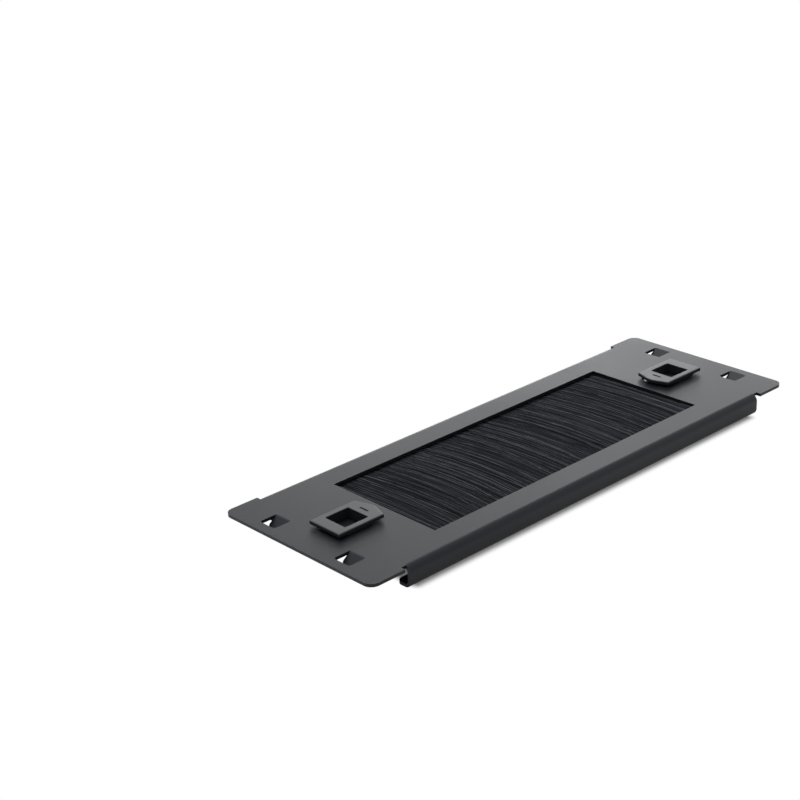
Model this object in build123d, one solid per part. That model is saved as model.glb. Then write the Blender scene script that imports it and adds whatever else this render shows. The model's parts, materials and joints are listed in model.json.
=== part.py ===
from build123d import *
import os
from math import cos, radians, sin, tan

# Cable-entry panel for a 10-inch rack, two rack units high: a folded sheet with a wide window, a
# one-sided strip brush that closes the window, and two sprung slide latches that grip the rack rails.
# Sizes are millimetres. X runs across the rack, Y up the rack and Z out of the front.
# Z = 0 is the rear of the folded lips, on which the panel lies face up.

# Folded sheet
panel_width = 254.0  # over both ears, the 10-inch rack width
panel_height = 88.1  # two rack units less the fitting gap
sheet = 1.4  # steel sheet with its coat
flange_depth = 9.6  # front face to the rear of the lips
lip_width = 7.8  # lip folded inward from each flange
bend_radius = 1.6  # inside radius of the flanges' folds
ear_width = 19.5  # flat ear beyond the end of the flanges
ear_corner_radius = 4.0
lip_corner_radius = 2.5
relief_width = 2.4  # notch that frees the fold from the ear
relief_depth = 2.2

# Window
window_inset = 37.5  # line of the locating tabs to the window's end
window_rim = 14.05  # panel edge to the window's long side
window_corner_radius = 0.4

# Locating tabs, lanced rearward to sit in the rails' square holes
tab_edge_distance = 8.75  # panel end to the tabs' line, which is the rail hole line
tab_spacing = 44.45  # one rack unit between the holes used
tab_hole_length = 8.8
tab_hole_width = 9.0
tab_hole_offset = 0.3  # centre of the punched hole beyond the hole line
tab_hole_corner_radius = 1.2
tab_width = 8.6
tab_angle = 36.0
tab_length = 5.6  # bend to tip along the tilted tab
tab_bend_radius = 0.2
tab_root = 1.0  # stretch of the tab that lies in the sheet
tab_corner_radius = 1.4

# Tongues and stake slots on the upper lip, which keep the brush in its channel
tongue_spacing = 120.0
tongue_width = 2.6
tongue_clearance = 0.2  # tip of the bent leg to the bristles
tongue_bend_radius = 0.4
stake_slot_length = 3.6
stake_slot_width = 1.4
stake_slot_inset = 4.0  # panel edge to the slot's centre line

# Strip brush
brush_overlap = 4.25  # bristles beyond each end of the window
holder_overhang = 1.2  # holder beyond the outermost bristles
holder_depth = 5.5
holder_height = 4.2
holder_wall = 0.6
crimp_length = 1.6  # stretch over which the holder's mouth closes on the bristles
core_wire_diameter = 1.2
bristle_pack = 2.2  # thickness of the bristle pack
bristle_valley = 0.45  # depth of the groove between two tufts
tuft_count = 44
tip_overlap = 5.85  # bristle tips beyond the window's lower edge
tip_gap_width = 0.9  # opening between two tufts at the tips
tip_gap_length = 16.0
seat_gap = 0.1  # between pieces that rest on each other

# Slide latches
plate_inset = 6.65  # hole line to the outer end of the latch plate
plate_length = 23.4
plate_width = 17.6
plate_point = 3.1  # rise of the pull end's sides to the point where they meet
plate_point_radius = 8.0  # rounding of that point
plate_thickness = 1.5
plate_lift = 1.1  # finger gap between plate and panel
plate_rounding = 0.45
pocket_size = 12.2  # square finger pocket
pocket_margin = 5.6  # plate's outer end to the pocket
pocket_corner_radius = 0.6
pocket_floor = 1.0
tub_wall = 0.8
slide_travel = 4.5
slide_gap = 0.2  # running gap between latch and panel
runner_width = 0.8  # ribs under the plate that slide on the panel
runner_inset = 0.5  # plate's side to the runner
opening_corner_radius = 0.2
rail_edge_inset = 7.15  # hole line to the rail's inner edge
rail_gap = 2.1  # room for the rail between ear and tongue
grip_thickness = 2.9
grip_width = 13.5
grip_root = 5.8  # stretch of the grip that carries the tub
nose_run = 2.4  # length of the slanting lead-in at the grip's nose
grip_rounding = 0.5
snap_length = 8.0  # ribs that keep the tub in the panel opening
snap_reach = 0.9
snap_depth = 1.6
mark_length = 5.0  # sunk dash that marks the pull end
mark_width = 1.0
mark_depth = 0.35
mark_inset = 3.1  # pocket to the dash's centre line

# Leaf springs behind the latches
spring_thickness = 0.7
spring_width = 14.0
spring_crest = 5.2  # height of the arch behind the panel
spring_tail = 3.0  # length held in the grip's slot
spring_lead = 0.8  # straight stretch before the arch rises
spring_crest_run = 6.0  # length of the arch's crest
spring_fold = 0.6  # depth of the fold in the spring's standing wall
spring_fold_radius = 0.08  # inside radius of the fold
spring_arch_radius = 2.0
spring_corner_radius = 0.8
spring_foot = 0.9  # depth of the foot in the panel opening
spring_gap = 0.05  # between the spring and what it bears on

# Heights and lines that follow from the sizes above
front_z = flange_depth
rear_z = front_z - sheet
half_width = panel_width / 2
half_height = panel_height / 2
fold_line = half_height - bend_radius - sheet  # where the flat sheet turns into the fold
flange_half = half_width - ear_width
lip_edge = half_height - lip_width
wall_inside = half_height - sheet
hole_line = half_width - tab_edge_distance
window_half_x = hole_line - window_inset
window_half_y = half_height - window_rim
bristle_half = window_half_x + brush_overlap
holder_half = bristle_half + holder_overhang
holder_back = wall_inside - seat_gap
holder_front = holder_back - holder_depth
holder_corner = bend_radius - seat_gap  # nests in the flange's fold
brush_z = rear_z - seat_gap - holder_height / 2
root_y = holder_back - holder_height / 2  # core wire, round which the bristles are folded
plate_outer = hole_line - plate_inset
plate_inner = plate_outer - plate_length
plate_z = front_z + plate_lift
plate_top = plate_z + plate_thickness
pocket_outer = plate_outer - pocket_margin
pocket_inner = pocket_outer - pocket_size
tub_outer = pocket_outer + tub_wall
tub_inner = pocket_inner - tub_wall
tub_width = pocket_size + 2 * tub_wall
grip_front_z = rear_z - rail_gap
grip_rear_z = grip_front_z - grip_thickness
grip_inner = tub_outer - grip_root
nose_tip = hole_line - rail_edge_inset + slide_travel
opening_outer = tub_outer + slide_gap
opening_inner = tub_inner - slide_travel - spring_thickness - 2 * spring_gap
opening_width = tub_width + 2 * slide_gap


def block(low, high):
    """Box between two opposite corners."""
    size = [b - a for a, b in zip(low, high)]
    return Pos(*[(a + b) / 2 for a, b in zip(low, high)]) * Box(*size)


def bent_strip(points, radius, thickness, width, plane):
    """Strip of even thickness folded along a path, centred on the plane that holds the path."""
    path = FilletPolyline(*points, radius=radius)
    return extrude(plane * trace(path, thickness), width / 2, both=True)


def slot_cut(outline, low_z, high_z):
    """Prism of a flat outline between two heights."""
    return Pos(0, 0, low_z) * extrude(outline, high_z - low_z)


def folded_sheet():
    """Front sheet with ears, and the two flanges with their lips folded inward."""
    lip_mid = sheet / 2
    wall_mid = half_height - sheet / 2
    front_mid = front_z - sheet / 2
    section = [(lip_edge, lip_mid), (wall_mid, lip_mid), (wall_mid, front_mid)]
    section += [(-y, z) for y, z in reversed(section)]
    channel = bent_strip(section, bend_radius + sheet / 2, sheet, 2 * flange_half, Plane.YZ)
    upright_edges = channel.edges().filter_by(Axis.Z)
    lip_corners = upright_edges.filter_by(lambda e: abs(e.center().Y) < fold_line)
    channel = fillet(lip_corners, lip_corner_radius)
    outline = RectangleRounded(panel_width, panel_height, ear_corner_radius)
    for row in (-1, 1):
        strip_y = row * (half_height + fold_line) / 2
        outline -= Pos(0, strip_y) * Rectangle(2 * flange_half, half_height - fold_line)
        relief_y = row * (half_height - relief_depth / 2)
        outline -= Pos(0, relief_y) * Rectangle(2 * (flange_half + relief_width), relief_depth)
    return slot_cut(outline, rear_z, front_z) + channel


def lanced_tab():
    """Tab bent rearward from its hinge, lying in the XZ plane with the hinge line at X = 0."""
    front_mid = front_z - sheet / 2
    tilt = radians(tab_angle)
    bend = tab_bend_radius + sheet / 2
    lead = bend * tan(tilt / 2)
    tip = (-lead - tab_length * cos(tilt), front_mid - tab_length * sin(tilt))
    points = [(tab_root, front_mid), (-lead, front_mid), tip]
    tab = bent_strip(points, bend, sheet, tab_width, Plane.XZ)
    tip_face = tab.faces().sort_by(Axis.X)[0]
    tip_corners = tip_face.edges().filter_by(lambda e: e.length < tab_width / 2)
    return fillet(tip_corners, tab_corner_radius)


def holding_tongue():
    """Tongue that continues the upper lip and turns up in front of the brush holder."""
    leg_y = holder_front - seat_gap - sheet / 2
    leg_top = brush_z - bristle_pack / 2 - tongue_clearance
    points = [(fold_line, sheet / 2), (leg_y, sheet / 2), (leg_y, leg_top)]
    return bent_strip(points, tongue_bend_radius + sheet / 2, sheet, tongue_width, Plane.YZ)


def make_panel():
    """The folded sheet with its window, latch openings, locating tabs and holding tongues."""
    panel = folded_sheet()
    window = RectangleRounded(2 * window_half_x, 2 * window_half_y, window_corner_radius)
    panel -= slot_cut(window, rear_z, front_z)
    opening = RectangleRounded(opening_outer - opening_inner, opening_width, opening_corner_radius)
    opening_x = (opening_outer + opening_inner) / 2
    hole = RectangleRounded(tab_hole_length, tab_hole_width, tab_hole_corner_radius)
    tab = lanced_tab()
    for side in (-1, 1):
        panel -= Pos(side * opening_x, 0, 0) * slot_cut(opening, rear_z, front_z)
        for row in (-1, 1):
            hole_x = side * hole_line + tab_hole_offset
            hole_y = row * tab_spacing / 2
            panel -= Pos(hole_x, hole_y, 0) * slot_cut(hole, rear_z, front_z)
            panel += Pos(hole_x + tab_hole_length / 2, hole_y, 0) * tab
    tongue = holding_tongue()
    stake_slot = slot_cut(SlotOverall(stake_slot_length, stake_slot_width), 0, sheet)
    for side in (-1, 1):
        panel += Pos(side * tongue_spacing / 2, 0, 0) * tongue
        panel -= Pos(side * tongue_spacing / 2, half_height - stake_slot_inset, 0) * stake_slot
    return panel


def make_holder():
    """Channel strip whose mouth is crimped on the bristles."""
    reach = holder_height / 2 - holder_wall / 2
    mouth = bristle_pack / 2 + seat_gap + holder_wall / 2
    back = holder_back - holder_wall / 2
    crimp_y = holder_front + crimp_length
    lower = [(holder_front, brush_z - mouth), (crimp_y, brush_z - reach), (back, brush_z - reach)]
    upper = [(y, 2 * brush_z - z) for y, z in reversed(lower)]
    bend = holder_corner - holder_wall / 2
    return bent_strip(lower + upper, bend, holder_wall, 2 * holder_half, Plane.YZ)


def make_core_wire():
    """Straight wire in the fold of the bristles."""
    wire = Cylinder(core_wire_diameter / 2, 2 * holder_half, rotation=(0, 90, 0))
    return Pos(0, root_y, brush_z) * wire


def tuft_outline():
    """Cross-section of the pack: a row of round-backed tufts side by side, seen along the bristles."""
    pitch = 2 * bristle_half / tuft_count
    crest = bristle_pack / 2
    valley = crest - bristle_valley
    front = []
    rear = []
    for tuft in range(tuft_count):
        start = -bristle_half + tuft * pitch
        front.append(ThreePointArc((start, valley), (start + pitch / 2, crest), (start + pitch, valley)))
        rear.append(ThreePointArc((start, -valley), (start + pitch / 2, -crest), (start + pitch, -valley)))
    ends = [Line((x, -valley), (x, valley)) for x in (-bristle_half, bristle_half)]
    return make_face(front + rear + ends)


def make_bristles():
    """Bristle pack: tufts folded round the core wire, through the holder's mouth and across the window."""
    tip_y = -window_half_y - tip_overlap
    pack = extrude(Plane.XZ.offset(-root_y) * Pos(0, brush_z) * tuft_outline(), root_y - tip_y)
    pitch = 2 * bristle_half / tuft_count
    half_gap = tip_gap_width / 2
    gap = make_face(Polyline((-half_gap, tip_y), (half_gap, tip_y), (0, tip_y + tip_gap_length), close=True))
    gaps = Sketch() + [Pos(-bristle_half + tuft * pitch, 0) * gap for tuft in range(1, tuft_count)]
    pack -= slot_cut(gaps, brush_z - bristle_pack, brush_z + bristle_pack)
    fold_radius = holder_height / 2 - holder_wall - seat_gap
    fold = Cylinder(fold_radius, 2 * bristle_half, rotation=(0, 90, 0))
    bore = Cylinder(core_wire_diameter / 2, 2 * holder_half, rotation=(0, 90, 0))
    return pack + Pos(0, root_y, brush_z) * fold - Pos(0, root_y, brush_z) * bore


def latch_plate():
    """Front plate with a straight outer end and a blunt pointed pull end, on two runners."""
    half = plate_width / 2
    corners = [(plate_outer, half), (plate_outer, -half), (plate_inner, -half), (plate_inner, half)]
    outline = make_face(Polyline(*corners[:3], (plate_inner - plate_point, 0), corners[3], close=True))
    outline = fillet(outline.vertices().sort_by(Axis.X)[0], plate_point_radius)
    plate = slot_cut(outline, plate_z, plate_top)
    plate = fillet(plate.faces().sort_by(Axis.Z)[-1].edges(), plate_rounding)
    runner_y = half - runner_inset
    for low_y, high_y in ((runner_y - runner_width, runner_y), (-runner_y, runner_width - runner_y)):
        plate += block((tub_inner, low_y, front_z + slide_gap), (tub_outer, high_y, plate_z))
    return plate


def latch_grip():
    """Tongue behind the panel: it carries the tub, holds the spring's tail and hooks behind the rail."""
    outline = Polyline(
        (grip_inner, grip_front_z),
        (nose_tip, grip_front_z),
        (nose_tip - nose_run, grip_rear_z),
        (grip_inner, grip_rear_z),
        close=True,
    )
    grip = extrude(Plane.XZ * make_face(outline), grip_width / 2, both=True)
    grip = fillet(grip.faces().sort_by(Axis.Z)[0].edges(), grip_rounding)
    slot_height = spring_thickness + 2 * spring_gap
    low = (grip_inner, -grip_width / 2, grip_front_z - slot_height)
    return grip - block(low, (grip_inner + spring_tail, grip_width / 2, grip_front_z))


def snap_rib():
    """Wedge on the tub's side that springs out behind the panel opening."""
    wide_z = rear_z - slide_gap
    edge = tub_width / 2
    wedge = Polyline((edge, wide_z), (edge + snap_reach, wide_z), (edge, wide_z - snap_depth), close=True)
    rib = extrude(Plane.YZ * make_face(wedge), snap_length / 2, both=True)
    return Pos((pocket_outer + pocket_inner) / 2, 0, 0) * rib


def make_latch():
    """Latch at the +X end: plate, finger pocket, snap ribs and grip in one moulding."""
    tub = block((tub_inner, -tub_width / 2, grip_front_z), (tub_outer, tub_width / 2, plate_z))
    latch = latch_plate() + tub + latch_grip()
    latch += snap_rib() + mirror(snap_rib(), Plane.XZ)
    pocket = RectangleRounded(pocket_size, pocket_size, pocket_corner_radius)
    pocket_x = (pocket_outer + pocket_inner) / 2
    latch -= Pos(pocket_x, 0, 0) * slot_cut(pocket, grip_front_z + pocket_floor, plate_top)
    mark = SlotOverall(mark_length, mark_width, rotation=90)
    return latch - Pos(pocket_inner - mark_inset, 0, 0) * slot_cut(mark, plate_top - mark_depth, plate_top)


def make_spring():
    """Leaf spring at the +X end: its tail in the grip, its foot against the edge of the panel opening."""
    slot_z = grip_front_z - spring_gap - spring_thickness / 2
    crest_z = rear_z - spring_crest + spring_thickness / 2
    foot_x = opening_inner + spring_gap + spring_thickness / 2
    lobe_x = foot_x - spring_fold
    foot_top_z = rear_z + spring_foot
    bend_z = rear_z - spring_thickness
    fold_step = (bend_z - crest_z) / 5
    points = [
        (grip_inner + spring_tail - spring_gap, slot_z),
        (grip_inner - spring_lead, slot_z),
        (lobe_x + spring_crest_run, crest_z),
        (lobe_x, crest_z),
        (lobe_x, crest_z + 2 * fold_step),
        (foot_x, crest_z + 3 * fold_step),
        (lobe_x, crest_z + 4 * fold_step),
        (foot_x, bend_z),
        (foot_x, foot_top_z),
    ]
    fold_radius = spring_fold_radius + spring_thickness / 2
    corners = [spring_arch_radius, spring_arch_radius, spring_corner_radius] + 4 * [fold_radius]
    return bent_strip(points, corners, spring_thickness, spring_width, Plane.XZ)


parts = {
    "panel": make_panel(),
    "brush_holder": make_holder(),
    "brush_core_wire": make_core_wire(),
    "bristles": make_bristles(),
    "right_latch": make_latch(),
    "right_latch_spring": make_spring(),
}
parts["left_latch"] = mirror(parts["right_latch"], Plane.YZ)
parts["left_latch_spring"] = mirror(parts["right_latch_spring"], Plane.YZ)

os.makedirs("parts", exist_ok=True)
for name, part in parts.items():
    export_step(part, f"parts/{name}.step")
    print(name, len(part.solids()), round(part.volume, 1))
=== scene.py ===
import json
import math
import random

import bmesh
import bpy
from mathutils import Matrix, Vector


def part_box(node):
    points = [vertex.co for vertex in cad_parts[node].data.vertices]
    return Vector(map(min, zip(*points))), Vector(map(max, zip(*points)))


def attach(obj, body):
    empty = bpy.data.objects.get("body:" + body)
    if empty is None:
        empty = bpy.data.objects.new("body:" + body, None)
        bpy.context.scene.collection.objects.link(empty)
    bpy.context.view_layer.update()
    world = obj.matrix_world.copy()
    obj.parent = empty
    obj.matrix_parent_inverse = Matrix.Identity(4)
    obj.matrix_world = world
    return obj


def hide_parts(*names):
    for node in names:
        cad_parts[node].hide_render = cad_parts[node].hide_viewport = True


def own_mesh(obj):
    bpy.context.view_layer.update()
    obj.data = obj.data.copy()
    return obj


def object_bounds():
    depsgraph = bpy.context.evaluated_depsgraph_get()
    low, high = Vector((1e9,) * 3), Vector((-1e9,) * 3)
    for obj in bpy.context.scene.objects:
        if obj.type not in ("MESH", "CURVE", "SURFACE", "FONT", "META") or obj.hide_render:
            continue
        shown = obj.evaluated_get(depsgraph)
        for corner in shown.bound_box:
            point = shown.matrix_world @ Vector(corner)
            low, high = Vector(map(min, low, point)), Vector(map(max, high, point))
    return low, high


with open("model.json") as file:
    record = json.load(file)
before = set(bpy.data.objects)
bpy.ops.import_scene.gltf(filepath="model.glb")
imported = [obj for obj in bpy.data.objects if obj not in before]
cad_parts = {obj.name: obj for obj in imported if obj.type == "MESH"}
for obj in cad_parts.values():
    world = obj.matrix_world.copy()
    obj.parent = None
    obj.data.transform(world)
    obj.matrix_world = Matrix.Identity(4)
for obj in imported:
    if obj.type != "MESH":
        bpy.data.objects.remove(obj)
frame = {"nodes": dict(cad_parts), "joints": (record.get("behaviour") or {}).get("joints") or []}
cad_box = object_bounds()

# Folded panel: one piece of steel sheet, punched, folded on both long sides and powder coated.
# The coat is satin black with a fine orange peel, and lies slightly unevenly over the whole sheet.
PANEL_DARK = (0.0072, 0.0076, 0.0100)
PANEL_LIGHT = (0.0110, 0.0116, 0.0150)
PANEL_ROUGHNESS = 0.37
COAT_GLOSS = 0.24
COLD_SHEEN = (0.86, 0.91, 1.0, 1.0)
DRIFTS_PER_METRE = 28.0
PEEL_PER_METRE = 1900.0
SPECKS_PER_METRE = 5200.0
PEEL_DEPTH = 0.000018
DRIFT_SWING = 0.10
PEEL_SWING = 0.08
SPECK_SHARE = 0.3
SPECK_RELIEF = 0.2


class Tone:
    """One output of a finish. Arithmetic on it adds Math nodes, and make() adds any other node."""

    def __init__(self, tree, socket):
        self.tree = tree
        self.socket = socket

    @classmethod
    def make(cls, tree, kind, settings, inputs, output=0):
        """Add a node with its settings, then the values or links of its inputs, and give one output."""
        node = tree.nodes.new(kind)
        for name, value in settings.items():
            setattr(node, name, value)
        for name, value in inputs.items():
            if isinstance(value, cls):
                tree.links.new(value.socket, node.inputs[name])
            else:
                node.inputs[name].default_value = value
        return cls(tree, node.outputs[output])

    def math(self, operation, first, second):
        """Add a Math node on two values or links."""
        return self.make(self.tree, "ShaderNodeMath", {"operation": operation}, {0: first, 1: second})

    def __add__(self, other):
        return self.math("ADD", self, other)

    def __mul__(self, other):
        return self.math("MULTIPLY", self, other)

    def __sub__(self, other):
        return self.math("SUBTRACT", self, other)

    def __rsub__(self, other):
        return self.math("SUBTRACT", other, self)

    __radd__ = __add__
    __rmul__ = __mul__


def new_finish(name):
    """An empty material with its node tree, its Principled shader and its Object coordinates."""
    material = bpy.data.materials.new(name)
    material.use_nodes = True
    tree = material.node_tree
    shader = tree.nodes["Principled BSDF"]
    place = Tone.make(tree, "ShaderNodeTexCoord", {}, {}, "Object")
    return material, tree, shader, place


def cloud(tree, place, scale, detail=2.0):
    """Soft noise from 0 to 1, with features about 1/scale metres wide."""
    noise = {"Vector": place, "Scale": scale, "Detail": detail}
    return Tone.make(tree, "ShaderNodeTexNoise", {}, noise, "Fac")


def blended(tree, share, dark, light):
    """Colour between two, by a share from 0 to 1. The Mix node's sockets share names, so numbers tell."""
    dark_socket, light_socket, colour_socket = 6, 7, 2
    colours = {"Factor": share, dark_socket: (*dark, 1.0), light_socket: (*light, 1.0)}
    return Tone.make(tree, "ShaderNodeMix", {"data_type": "RGBA"}, colours, colour_socket)


def raised(tree, height, distance):
    """Surface relief of a given depth in metres."""
    return Tone.make(tree, "ShaderNodeBump", {}, {"Height": height, "Strength": 1.0, "Distance": distance})


def dress(shader, colour, roughness, relief):
    """Join a finish's three varying parts to its shader."""
    tree = colour.tree
    tree.links.new(colour.socket, shader.inputs["Base Color"])
    tree.links.new(roughness.socket, shader.inputs["Roughness"])
    tree.links.new(relief.socket, shader.inputs["Normal"])


def powder_coat(name, dark, light, base_roughness):
    """Satin powder coat: fine orange peel, with faint drifts in colour and gloss."""
    material, tree, shader, place = new_finish(name)
    shader.inputs["Specular IOR Level"].default_value = COAT_GLOSS
    shader.inputs["Specular Tint"].default_value = COLD_SHEEN
    drift = cloud(tree, place, DRIFTS_PER_METRE)
    peel = cloud(tree, place, PEEL_PER_METRE, 1.0)
    specks = cloud(tree, place, SPECKS_PER_METRE, 0.0)
    colour = blended(tree, (1 - SPECK_SHARE) * drift + SPECK_SHARE * specks, dark, light)
    roughness = base_roughness + DRIFT_SWING * (drift - 0.5) + PEEL_SWING * (peel - 0.5)
    relief = raised(tree, (1 - SPECK_RELIEF) * peel + SPECK_RELIEF * specks, PEEL_DEPTH)
    dress(shader, colour, roughness, relief)
    return material


def wear(node, material):
    """Give a node of the frame its finish."""
    slots = frame["nodes"][node].data.materials
    slots.clear()
    slots.append(material)


wear("panel", powder_coat("panel_powder_coat", PANEL_DARK, PANEL_LIGHT, PANEL_ROUGHNESS))

# Brush holder: a thin steel strip folded to a channel and crimped on the bristles.
# It lies in the fold of the upper flange behind two lanced tongues, and its black coat is glossier.
HOLDER_DARK = (0.010, 0.010, 0.011)
HOLDER_LIGHT = (0.016, 0.016, 0.0175)
HOLDER_ROUGHNESS = 0.34
wear("brush_holder", powder_coat("holder_coat", HOLDER_DARK, HOLDER_LIGHT, HOLDER_ROUGHNESS))

# Core wire: plain drawn steel, round which the bristles are folded inside the holder.
# Only its two cut ends show, in the ends of the channel.
WIRE_DARK = (0.20, 0.20, 0.205)
WIRE_LIGHT = (0.36, 0.36, 0.37)
WIRE_ROUGHNESS = 0.32
DRAW_MARK_SWING = 0.2
DRAW_MARKS_PER_METRE = (60.0, 4000.0, 4000.0)
DRAW_MARK_DEPTH = 0.00001
wire_steel, tree, shader, place = new_finish("core_wire_steel")
shader.inputs["Metallic"].default_value = 1.0
drawn = Tone.make(tree, "ShaderNodeMapping", {}, {"Vector": place, "Scale": DRAW_MARKS_PER_METRE})
streak = cloud(tree, drawn, 1.0)
colour = blended(tree, streak, WIRE_DARK, WIRE_LIGHT)
roughness = WIRE_ROUGHNESS + DRAW_MARK_SWING * streak
dress(shader, colour, roughness, raised(tree, streak, DRAW_MARK_DEPTH))
wear("brush_core_wire", wire_steel)

# Bristles: fine black nylon filaments, folded round the core wire, crimped in the holder and fanned
# across the window. They stand in tufts of leaning locks, and their tips lie behind the window's rim.
PACK_HALF = 0.0011
TUFT_COUNT = 44
GROOVE_DEPTH = 0.00014
END_INSET = 0.0003
ROOT_DEPTH = 0.0024
HOLDER_GAP = 0.0001
FILAMENT_RADIUS = 0.00012

bristle_low, bristle_high = [Vector(corner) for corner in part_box("bristles")]
holder_low, holder_high = [Vector(corner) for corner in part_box("brush_holder")]
pack_middle = (holder_low.z + holder_high.z) / 2
root_line = holder_low.y + ROOT_DEPTH
bristle_half = bristle_high.x - END_INSET
tuft_pitch = 2 * bristle_half / TUFT_COUNT
sheet_back = holder_high.z + HOLDER_GAP
filament_ceiling = sheet_back - 1.5 * FILAMENT_RADIUS
draw = random.Random(41)


def pack_profile(x):
    """Half thickness of the pack at a place along the holder: round-backed tufts side by side."""
    phase = (x + bristle_half) / tuft_pitch % 1.0
    return PACK_HALF - GROOVE_DEPTH * (2 * phase - 1) ** 2


FILAMENT_STEPS = (0.0, 0.06, 0.16, 0.32, 0.50, 0.70, 0.87, 1.0)
OPEN_STEP = FILAMENT_STEPS[2]
CRIMPED_SHARE = 0.7
TIP_SCATTER = 0.0012
FORWARD_RISE = 0.0008
RIPPLE_SIZE = 0.00005
RIPPLE_TURN = 9.0


def filament_points(start_x, lean, bow, lift, depth, face):
    """Places along one filament, from the holder to its tip, on the front or the rear of the pack."""
    tip_y = bristle_low.y + draw.uniform(0.0, TIP_SCATTER)
    phase = draw.uniform(0.0, math.tau)
    points = []
    for step in FILAMENT_STEPS:
        opened = min(1.0, step / OPEN_STEP)
        ripple = RIPPLE_SIZE * math.sin(phase + step * RIPPLE_TURN)
        x = start_x + lean * step + bow * math.sin(math.pi * step) + ripple
        x = max(-bristle_half, min(bristle_half, x))
        share = CRIMPED_SHARE + (1 - CRIMPED_SHARE) * opened
        outward = pack_profile(x) * depth * share + lift * opened
        z = pack_middle + FORWARD_RISE * math.sqrt(step) + face * outward + ripple
        points.append((x, root_line + (tip_y - root_line) * step, min(z, filament_ceiling)))
    return points


LOCKS_PER_TUFT = 6
SWAY_KEPT = 0.85
SWAY_CHANGE = 0.00006
LOCK_BOW = 0.00004
LOCK_LIFT = 0.00002
# Painted sheen: locks take dark and light tones by turns, so every other lock looks lit.
DARK_LOCK = (0.0, 0.1)
LIGHT_LOCK = (0.6, 1.0)


def make_locks():
    """Lean, bow, lift and tone of the locks along the holder, which are dark and light by turns: the light
    tones are painted sheen.
    """
    locks = []
    sway = 0.0
    for number in range(TUFT_COUNT * LOCKS_PER_TUFT):
        sway = SWAY_KEPT * sway + draw.gauss(0.0, SWAY_CHANGE)
        tone = draw.uniform(*(LIGHT_LOCK if number % 2 else DARK_LOCK))
        locks.append((sway, draw.gauss(0.0, LOCK_BOW), draw.gauss(0.0, LOCK_LIFT), tone))
    return locks


FILAMENTS_PER_FACE = 3100
ROOT_SHUFFLE = (-1.5, 2.5)
COMMON_LEAN = 0.0030
COMMON_BOW = 0.0035
UPRIGHT_END = 0.020
OWN_LEAN = 0.0003
OWN_BOW = 0.0003
SUNK_SHARE = 0.5
# Each filament's tone is painted sheen: PACK_TONE sets how far it is blended towards the light nylon colour.
PACK_TONE = 0.24
OWN_SHARE = 0.3
STRAY_SPACING = 19
STRAY_LEAN = 0.0013
STRAY_BOW = 0.0006
STRAY_DEPTH = (1.0, 1.12)
# Strays on top of the pack are painted lighter still: a painted highlight.
STRAY_TONE = 0.35


def filament_traits(number, locks):
    """Root, lean, bow, lift, depth and tone of a filament. Every so many, one strays on top of the pack,
    with a lighter tone as a painted highlight.
    """
    along = (number + draw.uniform(*ROOT_SHUFFLE)) / FILAMENTS_PER_FACE
    start_x = max(-bristle_half, min(bristle_half, bristle_half * (2 * along - 1)))
    lock = min(len(locks) - 1, int((start_x + bristle_half) / tuft_pitch * LOCKS_PER_TUFT))
    lock_lean, lock_bow, lock_lift, lock_tone = locks[lock]
    room = min(1.0, (bristle_half - abs(start_x)) / UPRIGHT_END)
    lean = COMMON_LEAN * room + lock_lean + draw.gauss(0.0, OWN_LEAN)
    bow = COMMON_BOW * room + lock_bow + draw.gauss(0.0, OWN_BOW)
    depth = 1.0 - SUNK_SHARE * draw.random() ** 2
    # Painted sheen: a lighter strand stands in for one that catches the light.
    tone = PACK_TONE * ((1 - OWN_SHARE) * lock_tone + OWN_SHARE * draw.random() ** 2)
    if number % STRAY_SPACING == 0:
        lean += draw.gauss(0.0, STRAY_LEAN)
        bow += draw.gauss(0.0, STRAY_BOW)
        depth = draw.uniform(*STRAY_DEPTH)
        tone = STRAY_TONE + (1 - STRAY_TONE) * draw.random() ** 2
    return start_x, lean, bow, lock_lift, depth, tone


def lay_filaments(name, face):
    """One face of the pack as separate filaments, each with a tone of its own, which is painted sheen."""
    lines = bpy.data.curves.new(name, "CURVE")
    lines.dimensions = "3D"
    lines.bevel_depth = FILAMENT_RADIUS
    lines.bevel_resolution = 0
    locks = make_locks()
    tones = []
    for number in range(FILAMENTS_PER_FACE):
        start_x, lean, bow, lift, depth, tone = filament_traits(number, locks)
        strand = lines.splines.new("POLY")
        strand.points.add(len(FILAMENT_STEPS) - 1)
        places = filament_points(start_x, lean, bow, lift, depth, face)
        for point, place in zip(strand.points, places):
            point.co = (*place, 1.0)
        tones.append(tone)
    drawn_lines = bpy.data.objects.new(name, lines)
    bpy.context.scene.collection.objects.link(drawn_lines)
    bpy.context.view_layer.update()
    evaluated = drawn_lines.evaluated_get(bpy.context.evaluated_depsgraph_get())
    mesh = bpy.data.meshes.new_from_object(evaluated)
    bpy.data.objects.remove(drawn_lines)
    mesh.name = name
    corners = len(mesh.vertices) // FILAMENTS_PER_FACE
    shade = mesh.attributes.new("strand_tone", "FLOAT", "POINT")
    shade.data.foreach_set("value", [tone for tone in tones for _ in range(corners)])
    mesh.polygons.foreach_set("use_smooth", [True] * len(mesh.polygons))
    return mesh


CURTAIN_THICKNESS = 0.0009
CURTAIN_COLUMNS = 340
CURTAIN_ROWS = 6


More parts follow.
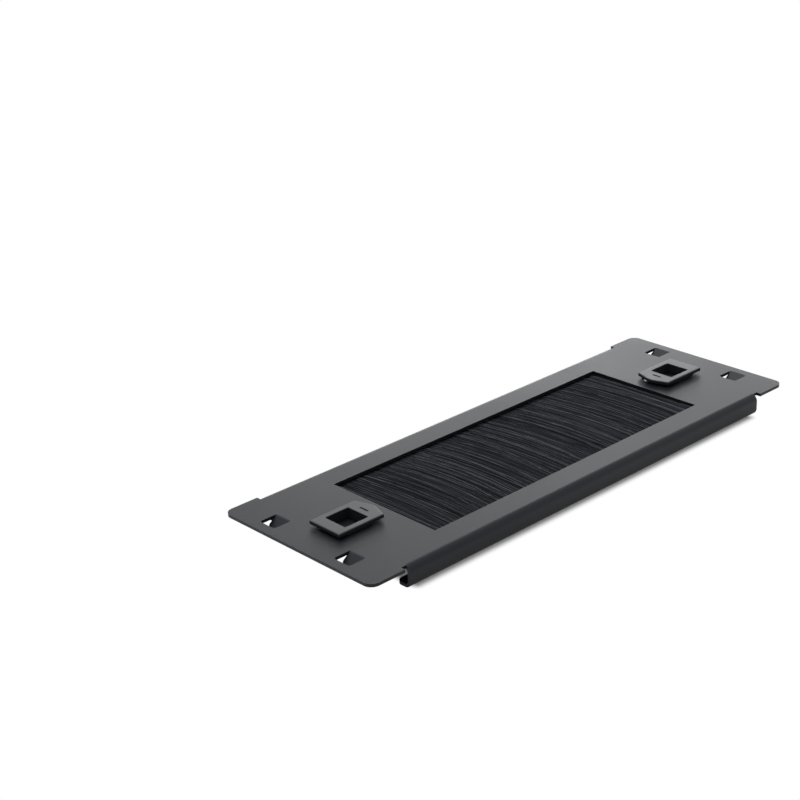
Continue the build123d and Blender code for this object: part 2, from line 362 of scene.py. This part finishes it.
def filament_curtain(name):
    """The inner filaments, too many to lay one by one: a thin curtain with a ragged lower end."""
    length = root_line - bristle_low.y - 2 * TIP_SCATTER
    sheet = bmesh.new()
    bmesh.ops.create_grid(sheet, x_segments=CURTAIN_COLUMNS, y_segments=CURTAIN_ROWS, size=0.5)
    bmesh.ops.scale(sheet, verts=sheet.verts, vec=(2 * bristle_half, length, 1.0))
    for corner in sheet.verts:
        if math.isclose(corner.co.y, -length / 2, rel_tol=0.01):
            corner.co.y += draw.uniform(0.0, 2 * TIP_SCATTER)
    bmesh.ops.solidify(sheet, geom=sheet.faces[:], thickness=CURTAIN_THICKNESS)
    middle = sum(corner.co.z for corner in sheet.verts) / len(sheet.verts)
    for corner in sheet.verts:
        share_down = max(0.0, 0.5 - corner.co.y / length)
        corner.co.z += FORWARD_RISE * math.sqrt(share_down)
    bmesh.ops.translate(sheet, verts=sheet.verts, vec=(0.0, root_line - length / 2, pack_middle - middle))
    bmesh.ops.recalc_face_normals(sheet, faces=sheet.faces)
    mesh = bpy.data.meshes.new(name)
    sheet.to_mesh(mesh)
    sheet.free()
    return mesh


# NYLON_LIGHT is no colour of black nylon: filaments are blended towards it as painted sheen.
NYLON_DARK = (0.0018, 0.0020, 0.0026)
NYLON_LIGHT = (0.150, 0.155, 0.186)
NYLON_GLOSS = 0.05
NYLON_ROUGHNESS = 0.46
SCUFF_SWING = 0.10
SCUFFS_AND_SHEEN_PER_METRE = (2600.0, 60.0, 2600.0)
SCUFF_DEPTH = 0.00002
# These two set how the painted sheen rises and falls along each strand.
SHEEN_STRETCH_CONTRAST = 2.4
SHEEN_STRETCH_LOSS = 0.2
# The curtain's streaks are painted sheen.
CURTAIN_TONE = 0.12


def nylon(name, tone_of):
    """Black nylon filaments: a painted sheen for each strand, lighter and darker along it, and faint scuffs
    in gloss and relief.
    """
    material, tree, shader, place = new_finish(name)
    lengthwise = Tone.make(tree, "ShaderNodeMapping", {}, {"Vector": place, "Scale": SCUFFS_AND_SHEEN_PER_METRE})
    scuff_and_sheen = cloud(tree, lengthwise, 1.0)
    colour = blended(tree, tone_of(tree, scuff_and_sheen), NYLON_DARK, NYLON_LIGHT)
    shader.inputs["Specular IOR Level"].default_value = NYLON_GLOSS
    dress(shader, colour, NYLON_ROUGHNESS + SCUFF_SWING * scuff_and_sheen, raised(tree, scuff_and_sheen, SCUFF_DEPTH))
    return material


def own_tone(tree, scuff_and_sheen):
    """Painted sheen that each filament is given, uneven along its length."""
    strand = Tone.make(tree, "ShaderNodeAttribute", {"attribute_name": "strand_tone"}, {}, "Fac")
    return strand * (SHEEN_STRETCH_CONTRAST * scuff_and_sheen - SHEEN_STRETCH_LOSS)


def streaked_tone(tree, scuff_and_sheen):
    """Painted sheen in streaks that change across the curtain, strand by strand."""
    return CURTAIN_TONE * scuff_and_sheen


filament_nylon = nylon("filament_nylon", own_tone)
curtain_nylon = nylon("curtain_nylon", streaked_tone)
brush_meshes = [
    (lay_filaments("front_filaments", 1), filament_nylon),
    (lay_filaments("rear_filaments", -1), filament_nylon),
    (filament_curtain("inner_filaments"), curtain_nylon),
]
for mesh, material in brush_meshes:
    mesh.materials.clear()
    mesh.materials.append(material)
    piece = bpy.data.objects.new(mesh.name, mesh)
    bpy.context.scene.collection.objects.link(piece)
    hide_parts("bristles")
    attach(piece, "panel_body")

# Slide latches: one moulding each, of matt black plastic with a fine spark-eroded grain.
# They snap into the panel from the front, and a fingertip in the square pocket pulls them inward.
LATCH_DARK = (0.0050, 0.0053, 0.0070)
LATCH_LIGHT = (0.0088, 0.0092, 0.0120)
LATCH_ROUGHNESS = 0.50
LATCH_GRAIN_DEPTH = 0.00002
PLASTIC_GLOSS = 0.25
FLOWS_PER_METRE = 90.0
GRAINS_PER_METRE = 3600.0
GRAIN_SHARE = 0.4
PLASTIC_SWING = 0.10
FACE_STARTS_BELOW = 0.0006
FACE_FULL_BELOW = 0.00018
FACE_COAT = 0.48
FACE_COAT_ROUGHNESS = 0.34
FACE_COAT_TINT = (0.97, 0.98, 1.0, 1.0)
SIDE_DULLNESS = 0.4


def moulded_plastic(name, dark, light, base_roughness, grain_depth):
    """Moulded plastic: fine even grain, with faint flow clouds in colour and gloss."""
    material, tree, shader, place = new_finish(name)
    shader.inputs["Specular IOR Level"].default_value = PLASTIC_GLOSS
    shader.inputs["Specular Tint"].default_value = COLD_SHEEN
    flow = cloud(tree, place, FLOWS_PER_METRE)
    grain = cloud(tree, place, GRAINS_PER_METRE, 1.0)
    colour = blended(tree, (1 - GRAIN_SHARE) * flow + GRAIN_SHARE * grain, dark, light)
    roughness = base_roughness + PLASTIC_SWING * (flow - 0.5) + PLASTIC_SWING * (grain - 0.5)
    dress(shader, colour, roughness, raised(tree, grain, grain_depth))
    return material


def polish_face(material, face_height):
    """Sheen on the front of a latch's plate, at a given height. Its sides and its pocket stay dull."""
    tree = material.node_tree
    shader = tree.nodes["Principled BSDF"]
    place = Tone.make(tree, "ShaderNodeTexCoord", {}, {}, "Object")
    height = Tone.make(tree, "ShaderNodeSeparateXYZ", {}, {"Vector": place}, "Z")
    lowest, full = face_height - FACE_STARTS_BELOW, face_height - FACE_FULL_BELOW
    face = Tone.make(tree, "ShaderNodeMapRange", {}, {"Value": height, "From Min": lowest, "From Max": full})
    tree.links.new((FACE_COAT * face).socket, shader.inputs["Coat Weight"])
    shader.inputs["Coat Roughness"].default_value = FACE_COAT_ROUGHNESS
    shader.inputs["Coat Tint"].default_value = FACE_COAT_TINT
    grained = Tone(tree, shader.inputs["Roughness"].links[0].from_socket)
    tree.links.new((grained + SIDE_DULLNESS * (1.0 - face)).socket, shader.inputs["Roughness"])


latch_plastic = moulded_plastic("latch_plastic", LATCH_DARK, LATCH_LIGHT, LATCH_ROUGHNESS, LATCH_GRAIN_DEPTH)
polish_face(latch_plastic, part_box("left_latch")[1][2])
for side in ("left", "right"):
    wear(f"{side}_latch", latch_plastic)

# Latch springs: a folded strip of smooth black plastic behind each latch, foot in the panel opening.
# Its tail sits in the latch's slot, so the strip is pressed together as the latch slides inward.
SPRING_DARK = (0.010, 0.010, 0.011)
SPRING_LIGHT = (0.016, 0.016, 0.0175)
SPRING_ROUGHNESS = 0.30
SPRING_GRAIN_DEPTH = 0.000006
FOOT_LINE = 0.08775
MERGE_DISTANCE = 0.000002
spring_plastic = moulded_plastic(
    "spring_plastic", SPRING_DARK, SPRING_LIGHT, SPRING_ROUGHNESS, SPRING_GRAIN_DEPTH
)
for side, foot_x in (("left", -FOOT_LINE), ("right", FOOT_LINE)):
    node = f"{side}_latch_spring"
    joint = next(row for row in frame["joints"] if row["name"] == f"{side}_latch_slide")
    low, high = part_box(node)
    strip = bmesh.new()
    strip.from_mesh(frame["nodes"][node].data)
    bmesh.ops.remove_doubles(strip, verts=strip.verts, dist=MERGE_DISTANCE)
    leaf_mesh = bpy.data.meshes.new(f"{side}_spring_strip")
    strip.to_mesh(leaf_mesh)
    strip.free()
    leaf_mesh.materials.append(spring_plastic)
    leaf = bpy.data.objects.new(f"{side}_spring_strip", leaf_mesh)
    bpy.context.scene.collection.objects.link(leaf)
    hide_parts(node)
    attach(leaf, "panel_body")
    reach = max(abs(low[0]), abs(high[0])) - FOOT_LINE
    1 - joint["range_m"][1] / reach
    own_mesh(leaf)

# Studio: a white floor just below the panel, an even white surround and three large soft lamps.
# The floor shows plain white, and keeps a short shadow beside the flanges, which is longer in reflections.
FLOOR_HALF = 6.0
FLOOR_GAP = 0.0002
FLOOR_PAINT = (0.92, 0.92, 0.92, 1.0)
FLOOR_ROUGHNESS = 0.9
WHITE = (1.0, 1.0, 1.0, 1.0)
CHANNEL_HALF = (0.1025, 0.0425, 1.0)
NEAR_GLOW = 0.12
SHADOW_REACH = 0.0048
MIRRORED_REACH = 0.022
AMBIENT = 0.40
floor_shape = bmesh.new()
bmesh.ops.create_grid(floor_shape, x_segments=1, y_segments=1, size=FLOOR_HALF)
bmesh.ops.translate(floor_shape, verts=floor_shape.verts, vec=(0.0, 0.0, cad_box[0][2] - FLOOR_GAP))
floor_mesh = bpy.data.meshes.new("studio_floor")
floor_shape.to_mesh(floor_mesh)
floor_shape.free()
floor = bpy.data.objects.new("studio_floor", floor_mesh)
bpy.context.scene.collection.objects.link(floor)


def ray_kinds(tree):
    """Camera rays, glossy rays and transmission rays, each as 1 for such a ray and 0 for any other."""
    names = ("Is Camera Ray", "Is Glossy Ray", "Is Transmission Ray")
    return [Tone.make(tree, "ShaderNodeLightPath", {}, {}, name) for name in names]


def distance_from_channel(tree, place):
    """Distance on the floor from the space between the panel's flanges, in metres, and 0 inside it."""
    spread = Tone.make(tree, "ShaderNodeVectorMath", {"operation": "ABSOLUTE"}, {0: place})
    beyond = Tone.make(tree, "ShaderNodeVectorMath", {"operation": "SUBTRACT"}, {0: spread, 1: CHANNEL_HALF})
    outside = Tone.make(tree, "ShaderNodeVectorMath", {"operation": "MAXIMUM"}, {0: beyond, 1: (0, 0, 0)})
    return Tone.make(tree, "ShaderNodeVectorMath", {"operation": "LENGTH"}, {0: outside}, "Value")


def white_share(tree, away, reach):
    """Share of plain white in the floor: a little of it near the flanges, and all of it past the reach."""
    rise = {"Value": away, "From Max": reach, "To Min": NEAR_GLOW}
    return Tone.make(tree, "ShaderNodeMapRange", {"interpolation_type": "SMOOTHSTEP"}, rise)


floor_white, tree, shader, place = new_finish("floor_white")
shader.inputs["Base Color"].default_value = FLOOR_PAINT
shader.inputs["Roughness"].default_value = FLOOR_ROUGHNESS
glow = Tone.make(tree, "ShaderNodeEmission", {}, {"Color": WHITE, "Strength": 1.0}, "Emission")
away = distance_from_channel(tree, place)
seen, mirrored, passed = ray_kinds(tree)
share = white_share(tree, away, SHADOW_REACH) * (seen + passed)
share = share + white_share(tree, away, MIRRORED_REACH) * mirrored
lit = Tone(tree, shader.outputs["BSDF"])
mixed = Tone.make(tree, "ShaderNodeMixShader", {}, {0: share, 1: lit, 2: glow}, "Shader")
tree.links.new(mixed.socket, tree.nodes["Material Output"].inputs["Surface"])
floor_mesh.materials.append(floor_white)

world = bpy.data.worlds.new("white_surround")
bpy.context.scene.world = world
world.use_nodes = True
tree = world.node_tree
seen, mirrored, passed = ray_kinds(tree)
strength = AMBIENT + (1.0 - AMBIENT) * (seen + mirrored + passed)
surround = tree.nodes["Background"]
surround.inputs["Color"].default_value = WHITE
tree.links.new(strength.socket, surround.inputs["Strength"])

lamps = (
    ("key_lamp", Vector((0.0, 0.45, 1.30)), 0.9, 10.0),
    ("back_lamp", Vector((1.0, 1.1, 0.30)), 0.55, 2.45),
    ("side_lamp", Vector((1.45, 0.9, 0.30)), 0.55, 2.7),
)
for name, place, side_length, watts in lamps:
    lamp = bpy.data.lights.new(name, "AREA")
    lamp.size = side_length
    lamp.energy = watts
    lamp_stand = bpy.data.objects.new(name, lamp)
    aim_at_panel = (-place).to_track_quat("-Z", "Y")
    lamp_stand.matrix_world = Matrix.LocRotScale(place, aim_at_panel, None)
    bpy.context.scene.collection.objects.link(lamp_stand)

# Camera: the photograph's view, fitted to the corners of the panel's front face.
# Distances are metres from the middle of that face, and the framing is pixels of the square picture.
PICTURE_SIDE = 800
FOCAL_PIXELS = 1697.27
AZIMUTH = math.radians(-41.945)
ELEVATION = math.radians(23.382)
ROLL = math.radians(-2.652)
DISTANCE = 0.727834
PANEL_ASIDE = 121.705
PANEL_ABOVE = -42.955
SENSOR_WIDTH_MM = 36.0
NEAREST_SEEN = 0.01
camera_data = bpy.data.cameras.new("camera")
camera_data.sensor_width = SENSOR_WIDTH_MM
camera_data.lens = FOCAL_PIXELS / PICTURE_SIDE * SENSOR_WIDTH_MM
camera_data.clip_start = NEAREST_SEEN
back = Vector((
    math.sin(AZIMUTH) * math.cos(ELEVATION),
    -math.cos(AZIMUTH) * math.cos(ELEVATION),
    math.sin(ELEVATION),
))
level_right = Vector((math.cos(AZIMUTH), math.sin(AZIMUTH), 0.0))
level_up = back.cross(level_right)
right = math.cos(ROLL) * level_right + math.sin(ROLL) * level_up
up = math.cos(ROLL) * level_up - math.sin(ROLL) * level_right
face_middle = Vector((0.0, 0.0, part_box("panel")[1][2]))
pixel = DISTANCE / FOCAL_PIXELS
eye = face_middle + DISTANCE * back - PANEL_ASIDE * pixel * right - PANEL_ABOVE * pixel * up
turn = Matrix((right, up, back)).transposed()
camera = bpy.data.objects.new("camera", camera_data)
camera.matrix_world = Matrix.Translation(eye) @ turn.to_4x4()
bpy.context.scene.collection.objects.link(camera)
bpy.context.scene.camera = camera

bpy.context.scene.view_settings.view_transform = "Standard"
